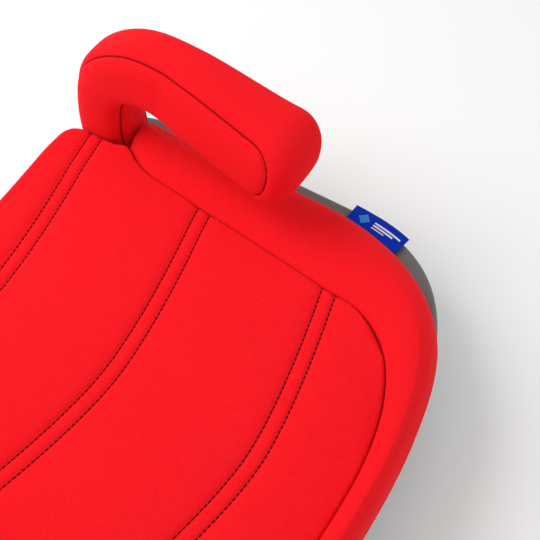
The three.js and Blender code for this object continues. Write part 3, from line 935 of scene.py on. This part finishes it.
def spline(points, count):
    """Even points on a smooth curve through these."""
    points = np.asarray(points, float)
    padded = np.concatenate([[2 * points[0] - points[1]], points, [2 * points[-1] - points[-2]]])
    fine = []
    for a, b, c, d in zip(padded[:-3], padded[1:-2], padded[2:-1], padded[3:]):
        t = np.linspace(0, 1, 12, endpoint=False)[:, None]
        fine.append(0.5 * (2 * b + (c - a) * t + (2 * a - 5 * b + 4 * c - d) * t ** 2
                           + (3 * b - a - 3 * c + d) * t ** 3))
    fine = np.concatenate(fine + [points[-1:]])
    return along_line(fine, np.linspace(0, 1, count))


def inner_edge(width, rim, lip, depth):
    """Where the hem's hidden inner edge lies: on the deck, or outside the rim once the lip hangs past it."""
    hanging = np.clip(lip / 0.16, 0, 1)
    return (width - depth) * (1 - hanging) + max(rim + 0.9 * MM, width - depth) * hanging


def bolster_section(width, rim, swell):
    """The bolster cut across, from its foot at the seam, out under the hem, over the crown, and back."""
    hem, lip = hem_place(width, rim)
    inner = inner_edge(width, rim, lip, 5 * MM)
    front = 1 - np.clip((width - 30 * MM) / (30 * MM), 0, 1)
    roll = min(1, width / (60 * MM))
    outer = width + swell
    crown = CROWN - 4 * MM * front
    seam = SEAM_HEIGHT - 6 * MM * front
    foot = DECK + 0.5 * MM
    under = [(0, foot), (inner * 0.5, foot), (inner - 0.4 * MM, foot), (inner, min(hem, DECK + 2.8 * MM))]
    over = spline([
        (outer - (1.5 + 1.5 * lip) * MM, hem + 0.6 * MM),
        (outer - 1.6 * lip * MM, hem + 4.5 * MM),
        (outer - 0.6 * lip * MM - (5.2 - 2 * lip) * MM * roll, crown - 16 * MM),
        (outer - (12 - 2.5 * lip) * MM * roll, crown - 7.8 * MM),
        (outer - (22 - 2.5 * lip) * MM * roll, crown - 2.6 * MM),
        (width * 0.58, crown),
        (width * 0.36, crown - 0.4 * MM),
        (width * 0.14 + 2 * MM, crown - 2.2 * MM),
        (3.4 * MM, seam + 0.9 * MM),
        (1.4 * MM, seam - 0.2 * MM),
    ], 30)
    inside = [
        (0.5 * MM, seam - 1.6 * MM), (0.15 * MM, seam - 4 * MM), (0, seam - 9 * MM),
        (0, foot + 7 * MM), (0, foot),
    ]
    return np.array([*under, *over, *inside])


class BOOSTER_OT_bolster(bpy.types.Operator):
    """Padded roll round the sides and the front of the seat"""

    bl_idname = "booster.bolster"
    bl_label = "Bolster"

    def execute(self, context):
        cover = context.scene.booster_cover
        seam, out, width, rim = stations(38, 91)
        swell = swell_at(seam[:, 1] + out[:, 1] * width)
        sections = np.stack([bolster_section(*values) for values in zip(width, rim, swell)])
        rows = np.empty((len(seam), sections.shape[1], 3))
        rows[:, :, :2] = seam[:, None] + out[:, None] * sections[:, :, :1]
        rows[:, :, 2] = sections[:, :, 1]
        # the two rear ends are rounded
        depth = np.clip((COVER_REAR + END_REACH - seam[:, 1]) / (4 * MM), 0, 1)
        shrink = np.sqrt(1 - (1 - depth) ** 2) * 0.25 + 0.75
        middle = rows.mean(axis=1, keepdims=True)
        middle[:, 0, 2] = DECK + 10 * MM
        end = depth < 1
        rows[end] = middle[end] + (rows[end] - middle[end]) * shrink[end][:, None, None]
        rows[:, :, 2] = np.maximum(rows[:, :, 2], np.minimum(sections[:, :, 1], DECK + 0.5 * MM))
        obj = skin("seat_bolster_cover", rows, caps=True)
        points = get_points(obj)
        nearest_seam = distance_to(points[:, :2], seam)
        clear = (points[:, 2] > DECK + 10 * MM) & (points[:, 1] < COVER_REAR - 6 * MM)
        free = (nearest_seam > 3 * MM) & clear
        inflate(obj, free, cover.pressure, 1.0 * MM)
        subdivide(obj, 1)
        at = get_points(obj)
        normal = normals_of(obj)
        near = np.exp(-((distance_to(at[:, :2], seam_curve(120, 241)) - 5 * MM) / (4 * MM)) ** 2)
        wave = np.sin(at[:, 0] * 520 + np.sin(at[:, 1] * 190)) * np.sin(at[:, 1] * 560 + 1.3)
        at += normal * (0.12 * MM * wave * near)[:, None]
        set_points(obj, at)
        # painted shade: a faint dark line along the seam at the bolster's foot, on the raised part only
        from_seam = distance_to(at[:, :2], seam_curve(120, 241)) + FAINT
        mark_seam_shade(obj, np.where(at[:, 2] > DECK + 14 * MM, from_seam, 1))
        smooth(obj)
        finish_piece(obj, "base", finish_named("red_fabric"), "red_fabric", "seat_bolster")
        return {"FINISHED"}


class BOOSTER_OT_hem(bpy.types.Operator):
    """Bound lower edge of the cover, tucked in under the bolster"""

    bl_idname = "booster.hem"
    bl_label = "Hem"

    def execute(self, context):
        seam, out, width, rim = stations(60, 141)
        turn = np.linspace(0, 2 * math.pi, 13)
        rows = np.empty((len(seam), len(turn), 3))
        swell = np.minimum(0, swell_at(seam[:, 1] + out[:, 1] * width))
        for number, (w, r) in enumerate(zip(width + swell, rim)):
            hem, lip = hem_place(width[number], r)
            outer = w - (1.0 + 1.4 * lip) * MM
            inner = min(inner_edge(w, r, lip, 4 * MM), outer - 1.5 * MM)
            distance = (inner + outer) / 2 + (outer - inner) / 2 * np.cos(turn)
            rows[number, :, :2] = seam[number] + out[number] * distance[:, None]
            rows[number, :, 2] = hem - 1.45 * MM + 1.1 * MM * np.sin(turn)
        obj = skin("cover_binding", rows, caps=True)
        smooth(obj, 60)
        finish_piece(obj, "base", finish_named("red_fabric"), "red_fabric", "cover_hem")
        return {"FINISHED"}


# ---- the armrests ----
ARM_HALF_HEIGHT = 29 * MM
ARM_OUTER = 212 * MM
ARM_NOSE = -45 * MM                     # from here back the armrest narrows on its inner side
NOSE_LENGTH = 26 * MM
# (y, z) of an armrest's middle line, in millimetres
ARM_PATH = ((-42.5, 152.5), (0, 158), (60, 167), (102, 168), (132, 148), (142, 112), (142, 70.4))
INSERT_START = 18.5 * MM                # from the nose back to the inset side panel
INSERT_HALF = 21.2 * MM                 # half height of the inset side panel


def arm_path():
    """The middle line of an armrest, as a fine line of (y, z)."""
    points = np.array(ARM_PATH) * MM
    first, last = 2 * points[0] - points[1], 2 * points[-1] - points[-2]
    points = np.concatenate([[first], points, [last]])
    knots = np.concatenate([[0], np.cumsum(np.linalg.norm(np.diff(points, axis=0), axis=1) ** 0.5)])
    fine = []
    for i in range(1, len(points) - 2):
        t = np.linspace(knots[i], knots[i + 1], 60, endpoint=False)[:, None]
        p, k = points[i - 1:i + 3], knots[i - 1:i + 3]
        a = [((k[j + 1] - t) * p[j] + (t - k[j]) * p[j + 1]) / (k[j + 1] - k[j]) for j in range(3)]
        b = [((k[j + 2] - t) * a[j] + (t - k[j]) * a[j + 1]) / (k[j + 2] - k[j]) for j in range(2)]
        fine.append(((k[2] - t) * b[0] + (t - k[1]) * b[1]) / (k[2] - k[1]))
    return np.concatenate(fine + [points[-2:-1]])


def arm_rows(side, count, around):
    path = arm_path()
    length = np.linalg.norm(np.diff(path, axis=0), axis=1).sum()
    shares = np.concatenate([np.linspace(0, 1, 13)[:-1] ** 2 * NOSE_LENGTH / length,
                             np.linspace(NOSE_LENGTH / length, 1, count - 12)])
    at = along_line(path, shares)
    ahead = along_line(path, np.minimum(1, shares + 0.002)) - along_line(path, np.maximum(0, shares - 0.002))
    ahead /= np.linalg.norm(ahead, axis=1, keepdims=True)
    up = np.stack([-ahead[:, 1], ahead[:, 0]], axis=1)
    angle = np.linspace(0, 2 * math.pi, around)
    rows = np.empty((len(shares), around, 3))
    for i, share in enumerate(shares):
        y = at[i, 0]
        swell = math.sqrt(max(0, 1 - (1 - min(1, share * length / NOSE_LENGTH)) ** 2))
        post = min(1, max(0, (y - 60 * MM) / (80 * MM)))
        half = (ARM_HALF_HEIGHT - 5 * MM * post) * swell
        inner = 141 * MM + 20 * MM * min(1, max(0, (y - ARM_NOSE) / (120 * MM))) + 5 * MM * post
        centre = (inner + ARM_OUTER) / 2 + 2 * MM * (1 - post)
        wide = ((ARM_OUTER - inner) / 2 - 2 * MM * (1 - post)) * swell ** 0.6
        v = half * signed_power(np.sin(angle), 2 / 3)
        taper = 0.3 * (1 - post) * v / ARM_HALF_HEIGHT * 9 * MM
        u = (wide - taper) * signed_power(np.cos(angle), 2 / 3) + taper
        rows[i, :, 0] = side * (centre + u)
        rows[i, :, 1] = at[i, 0] + up[i, 0] * v
        rows[i, :, 2] = at[i, 1] + up[i, 1] * v
    return rows


def arm_seam(points, path):
    """Distance of each point from the seam round the inset side panel; it is negative inside the panel."""
    length = np.concatenate([[0], np.cumsum(np.linalg.norm(np.diff(path, axis=0), axis=1))])
    best = np.full(len(points), 1e9)
    along = np.zeros(len(points))
    for number in range(0, len(path) - 1):
        away = np.hypot(*(points[:, 1:] - path[number]).T)
        closer = away < best
        best[closer] = away[closer]
        along[closer] = length[number]
    before = points[:, 1] < path[0, 0]
    along[before] = points[before, 1] - path[0, 0]
    ahead = np.maximum(0, INSERT_START + INSERT_HALF - along)
    return (ahead ** 2.4 + np.minimum(best, 0.2) ** 2.4) ** (1 / 2.4) - INSERT_HALF


class BOOSTER_OT_armrests(bpy.types.Operator):
    """Padded sleeves of the two armrests, each with an inset side panel framed by a seam"""

    bl_idname = "booster.armrests"
    bl_label = "Armrests"

    def execute(self, context):
        cover = context.scene.booster_cover
        path = arm_path()
        for hand, side in HANDS:
            obj = skin(f"armrest_sleeve_{hand}", arm_rows(side, 62, 57), caps=True)
            points = get_points(obj)
            seam = arm_seam(points, path)
            free = (np.abs(seam) > 2.2 * MM) & (points[:, 2] > DECK + 12 * MM)
            inflate(obj, free, cover.pressure, 1.2 * MM)
            subdivide(obj, 2)
            points, normal = get_points(obj), normals_of(obj)
            seam = arm_seam(points, path)
            flank = np.clip((np.abs(normal[:, 0]) - 0.15) / 0.25, 0, 1)
            fade = np.clip((points[:, 2] - DECK - 8 * MM) / (20 * MM), 0, 1)
            groove = 1.5 * MM * np.exp(-(seam / (1.0 * MM)) ** 2)
            groove += 0.8 * MM * np.exp(-(seam / (3.2 * MM)) ** 2)
            puff = 0.5 * MM * np.clip((-seam - 2 * MM) / (8 * MM), 0, 1)
            points += normal * ((puff - groove) * flank * fade)[:, None]
            set_points(obj, points)
            # painted shade: a dark line along the seam round the inset side panel, on the flanks only
            mark_seam_shade(obj, np.where(np.abs(normal[:, 0]) > 0.15, seam, 1))
            smooth(obj)
            finish_piece(obj, "base", finish_named("red_fabric"), "red_fabric", f"armrest_cover_{hand}")
        return {"FINISHED"}


# ---- the woven label ----
LABEL_REAR = -57 * MM
LABEL_TUCK = -2.5 * MM                  # where the label starts, measured outwards from the hem line
LABEL_FOLD = 0.45 * MM                  # radius of the fold at the label's outer edge


class BOOSTER_OT_label(bpy.types.Operator):
    """Folded woven ribbon, caught in the side hem and lying out over the rim"""

    bl_idname = "booster.label"
    bl_label = "Side label"

    def execute(self, context):
        reach = context.scene.booster_label.reach
        hem, rim = hem_curve(120, 401), rim_curve(120, 401)
        beside = (hem[:, 1] > LABEL_LOW.y + 3 * MM) & (hem[:, 1] < LABEL_REAR)
        inside = np.flatnonzero((hem[:, 0] > 0) & beside)
        chosen = hem[inside]
        out = (rim - hem)[inside]
        out /= np.linalg.norm(out, axis=1, keepdims=True)
        shares = np.linspace(0, 1, 27)
        base = along_line(chosen, shares)
        even = np.linspace(0, 1, len(out))
        outwards = np.stack([np.interp(shares, even, out[:, i]) for i in (0, 1)], axis=1)
        turn = np.linspace(-math.pi / 2, math.pi / 2, 7)
        fold, start = LABEL_FOLD, LABEL_TUCK
        lower = np.stack([np.linspace(start, reach - fold, 9)[:-1], np.full(8, -fold)], axis=1)
        bend = np.stack([reach - fold + fold * np.cos(turn), fold * np.sin(turn)], axis=1)
        upper = np.stack([np.linspace(reach - fold, start, 9)[1:], np.full(8, fold)], axis=1)
        section = np.concatenate([lower, bend, upper])
        rows = np.empty((len(shares), len(section), 3))
        rows[:, :, :2] = base[:, None] + outwards[:, None] * section[None, :, :1]
        droop = (section[:, 0] / reach) ** 2 * 1.2 * MM
        wave = 0.25 * MM * np.sin(shares * 5.1 + 0.6)[:, None] * (section[:, 0] / reach)[None]
        rows[:, :, 2] = DECK + 3.9 * MM + section[None, :, 1] - droop[None] + wave
        obj = skin("side_ribbon", rows)
        uv = obj.data.uv_layers.active or obj.data.uv_layers.new(name="weave")
        points = get_points(obj)
        flat = rows.reshape(-1, 3)
        order = np.array([int(np.argmin(((flat - p) ** 2).sum(axis=1))) for p in points])
        row, column = order // len(section), order % len(section)
        for loop in obj.data.loops:
            index = loop.vertex_index
            uv.data[loop.index].uv = (shares[row[index]], section[column[index], 0] / reach)
        if normals_of(obj)[:, 2][column > 16].mean() < 0:
            edit(obj, lambda: bpy.ops.mesh.flip_normals())
        apply(obj, "SOLIDIFY", thickness=0.32 * MM, offset=0)
        smooth(obj, 50)
        finish_piece(obj, "base", finish_named("woven_label"), "woven_label", "side_label")
        return {"FINISHED"}


# ---- the shell and the fittings ----
WALL = 3.5                              # thickness of the shell, in millimetres like its profile
# (inset, height) up the outside of the shell, in millimetres
WALL_PROFILE = ((30, 3), (25, 8), (14, 30), (5.5, 50), (1.4, 59.5), (0, 66), (1.3, 68.8), (4.5, 70))
# the right opening for a connector; the left one mirrors it
OPENING_MIDDLE = (140 * MM, 158 * MM, 28.95 * MM)
OPENING_SIZE = (33 * MM, 64 * MM, 43.1 * MM)


class BOOSTER_OT_shell(bpy.types.Operator):
    """Blow-moulded look plastic shell with a rounded rim, hollow below, with two openings at the rear"""

    bl_idname = "booster.shell"
    bl_label = "Shell"

    def execute(self, context):
        outside = spline(np.array(WALL_PROFILE)[:7] * MM, 26)
        rounding = spline(np.array([WALL_PROFILE[6], (2.6, 69.7), WALL_PROFILE[7], (9, 70)]) * MM, 8)[1:]
        inside = np.array([(inset + WALL, z) for inset, z in WALL_PROFILE[:6]]) * MM
        inside[-1, 1] = DECK - 4 * MM
        profile = np.concatenate([inside[::-1], outside, rounding])
        rows = np.stack([
            np.concatenate([shell_outline(inset), np.full((len(shell_outline(0)), 1), z)], axis=1)
            for inset, z in profile])
        obj = skin("shell", rows, caps=True)
        for _, side in HANDS:
            deselect()
            x, y, z = OPENING_MIDDLE
            bpy.ops.mesh.primitive_cube_add(size=1, location=(side * x, y, z))
            cutter = named("opening")
            cutter.scale = OPENING_SIZE
            bake_place(cutter)
            apply(cutter, "BEVEL", width=3 * MM, segments=4, limit_method="ANGLE",
                  angle_limit=math.radians(30))
            apply(obj, "BOOLEAN", operation="DIFFERENCE", object=cutter, solver="EXACT")
            bpy.data.objects.remove(cutter)
        smooth(obj, 32)
        finish_piece(obj, "base", finish_named("grey_shell"), "grey_shell", "base_shell")
        return {"FINISHED"}


def refined(node, name, body, slot, width, angle=35, segments=2):
    """A copy of a frame node with its edges rounded, standing for it."""
    source = bpy.data.objects[node]
    obj = source.copy()
    obj.data = source.data.copy()
    obj.parent = None
    obj.animation_data_clear()
    bpy.context.collection.objects.link(obj)
    obj.matrix_world = source.matrix_world
    obj.name = obj.data.name = name
    obj.hide_render = obj.hide_viewport = False
    bake_place(obj)
    edit(
        obj,
        lambda: bpy.ops.mesh.remove_doubles(threshold=0.01 * MM),
        lambda: bpy.ops.mesh.dissolve_limited(angle_limit=math.radians(1)),
        lambda: bpy.ops.mesh.normals_make_consistent(inside=False),
    )
    apply(obj, "BEVEL", width=width, segments=segments, limit_method="ANGLE", angle_limit=math.radians(angle),
          use_clamp_overlap=True)
    smooth(obj, 40)
    return finish_piece(obj, body, finish_named(slot), slot, node)


def turned_piece(name, radius, length, place, axis, edge, sides=48):
    """A round piece with rounded ends; place is its middle."""
    deselect()
    turn = (0, math.pi / 2, 0) if axis == "X" else (0, 0, 0)
    bpy.ops.mesh.primitive_cylinder_add(
        vertices=sides, radius=radius, depth=length, location=place, rotation=turn)
    obj = named(name)
    bake_place(obj)
    apply(obj, "BEVEL", width=edge, segments=3, limit_method="ANGLE", angle_limit=math.radians(50))
    smooth(obj, 40)
    return obj


class BOOSTER_OT_fittings(bpy.types.Operator):
    """Bottom plate, feet and guide channels"""

    bl_idname = "booster.fittings"
    bl_label = "Plate, feet and screws"

    def execute(self, context):
        edge = context.scene.booster_shell.edge
        refined("bottom_plate", "plate", "base", "dark_moulding", edge * 0.5)
        for hand, _ in HANDS:
            refined(f"connector_channel_{hand}", f"channel_{hand}", "base", "dark_moulding", edge * 0.5)
            for place in ("front", "rear"):
                low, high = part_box(f"foot_{place}_{hand}")
                middle = (low + high) / 2
                radius = (high.x - low.x) / 2
                foot = turned_piece(
                    f"pad_{place}_{hand}", radius, high.z - low.z, middle, "Z", edge * 0.8)
                finish_piece(foot, "base", finish_named("foot_rubber"), "foot_rubber", f"foot_{place}_{hand}")
        return {"FINISHED"}


class BOOSTER_OT_connectors(bpy.types.Operator):
    """Two rear anchor connectors on one sliding frame, with hooks, pins and release buttons"""

    bl_idname = "booster.connectors"
    bl_label = "Anchor connectors"

    def execute(self, context):
        edge = context.scene.booster_shell.edge
        refined("connector_frame", "slide_frame", "connectors", "zinc_steel", edge * 1.5, segments=3)
        for hand, _ in HANDS:
            refined(f"connector_head_{hand}", f"head_{hand}", "connectors", "dark_moulding", edge * 0.8)
            refined(f"connector_jaw_{hand}", f"jaw_{hand}_hook", f"jaw_{hand}", "zinc_steel", edge * 0.45)
            for node, name, body, slot in (
                    (f"jaw_pin_{hand}", f"pin_{hand}", "connectors", "zinc_steel"),
                    (f"release_button_{hand}", f"button_{hand}_cap", f"button_{hand}", "green_button")):
                low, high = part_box(node)
                middle = (low + high) / 2
                radius = (high.z - low.z) / 2
                obj = turned_piece(name, radius, high.x - low.x, middle, "X", radius * 0.18, 40)
                finish_piece(obj, body, finish_named(slot), slot, node)
        return {"FINISHED"}


class BOOSTER_OT_finishes(bpy.types.Operator):
    """Finishes for the frame nodes that stay as they are"""

    bl_idname = "booster.finishes"
    bl_label = "Finishes"

    def execute(self, context):
        slots = {
            "armrest_core": "dark_moulding", "armrest_screw": "zinc_steel", "bottom_screw": "zinc_steel",
        }
        for obj in bpy.data.objects:
            for start, slot in slots.items():
                if obj.type == "MESH" and obj.name.startswith(start):
                    obj.data.materials.clear()
                    obj.data.materials.append(finish_named(slot))
        return {"FINISHED"}


# ---- floor, lights and camera ----
def aim(obj, place, target):
    obj.location = place
    obj.rotation_euler = (Vector(target) - Vector(place)).to_track_quat("-Z", "Y").to_euler()


class BOOSTER_OT_stage(bpy.types.Operator):
    """Pale floor, soft studio light and the camera"""

    bl_idname = "booster.stage"
    bl_label = "Stage"

    def execute(self, context):
        stage = context.scene.booster_stage
        deselect()
        bpy.ops.mesh.primitive_plane_add(size=8, location=(0, 0, 0))
        floor = named("floor")
        floor.data.materials.append(Paint("floor_white", (0.86, 0.86, 0.86), 0.9).material)
        target = Vector(stage.target)
        for name, place, size, power in (
                ("key_light", (-0.3, 1.05, 1.35), 1.1, stage.key),
                ("fill_light", (0.2, -1.4, 1.0), 1.2, stage.fill)):
            deselect()
            bpy.ops.object.light_add(type="AREA", location=place)
            light = bpy.context.object
            light.name = name
            light.data.size = size
            light.data.energy = power
            aim(light, place, target)
        world = context.scene.world or bpy.data.worlds.new("surroundings")
        context.scene.world = world
        world.use_nodes = True
        world.node_tree.nodes["Background"].inputs["Color"].default_value = (1, 1, 1, 1)
        world.node_tree.nodes["Background"].inputs["Strength"].default_value = stage.sky
        a, e = stage.azimuth, stage.elevation
        back = Vector((math.sin(a) * math.cos(e), -math.cos(a) * math.cos(e), math.sin(e)))
        deselect()
        bpy.ops.object.camera_add()
        camera = bpy.context.object
        camera.name = "camera"
        camera.data.lens = stage.lens
        camera.data.sensor_width = 36
        aim(camera, target + back * stage.distance, target)
        context.scene.camera = camera
        context.scene.view_settings.view_transform = "Standard"
        return {"FINISHED"}


class BOOSTER_PT_panel(bpy.types.Panel):
    """Buttons for each part of the seat, in the order they are made"""

    bl_idname = "BOOSTER_PT_panel"
    bl_label = "Car booster cushion"
    bl_space_type = "VIEW_3D"
    bl_region_type = "UI"
    bl_category = "Booster"

    def draw(self, context):
        for title, group in (
                ("Cover", context.scene.booster_cover), ("Shell", context.scene.booster_shell),
                ("Label", context.scene.booster_label), ("Stage", context.scene.booster_stage)):
            column = self.layout.column(align=True)
            column.label(text=title)
            for key in group.__annotations__:
                column.prop(group, key)
        for operator in OPERATORS:
            self.layout.operator(operator.bl_idname)


OPERATORS = (
    BOOSTER_OT_panel, BOOSTER_OT_stitching, BOOSTER_OT_bolster, BOOSTER_OT_hem, BOOSTER_OT_armrests,
    BOOSTER_OT_label, BOOSTER_OT_shell, BOOSTER_OT_fittings, BOOSTER_OT_connectors, BOOSTER_OT_finishes,
    BOOSTER_OT_stage,
)
GROUPS = (
    ("booster_cover", CoverSettings), ("booster_shell", ShellSettings), ("booster_label", LabelSettings),
    ("booster_stage", StageSettings),
)


def register():
    for name, group in GROUPS:
        bpy.utils.register_class(group)
        setattr(bpy.types.Scene, name, PointerProperty(type=group))
    for cls in (*OPERATORS, BOOSTER_PT_panel):
        bpy.utils.register_class(cls)


def unregister():
    for cls in reversed((*OPERATORS, BOOSTER_PT_panel)):
        bpy.utils.unregister_class(cls)
    for name, group in reversed(GROUPS):
        delattr(bpy.types.Scene, name)
        bpy.utils.unregister_class(group)


def main():
    register()
    for operator in OPERATORS:
        family, name = operator.bl_idname.split(".")
        getattr(getattr(bpy.ops, family), name)()


if __name__ == "__main__":
    main()
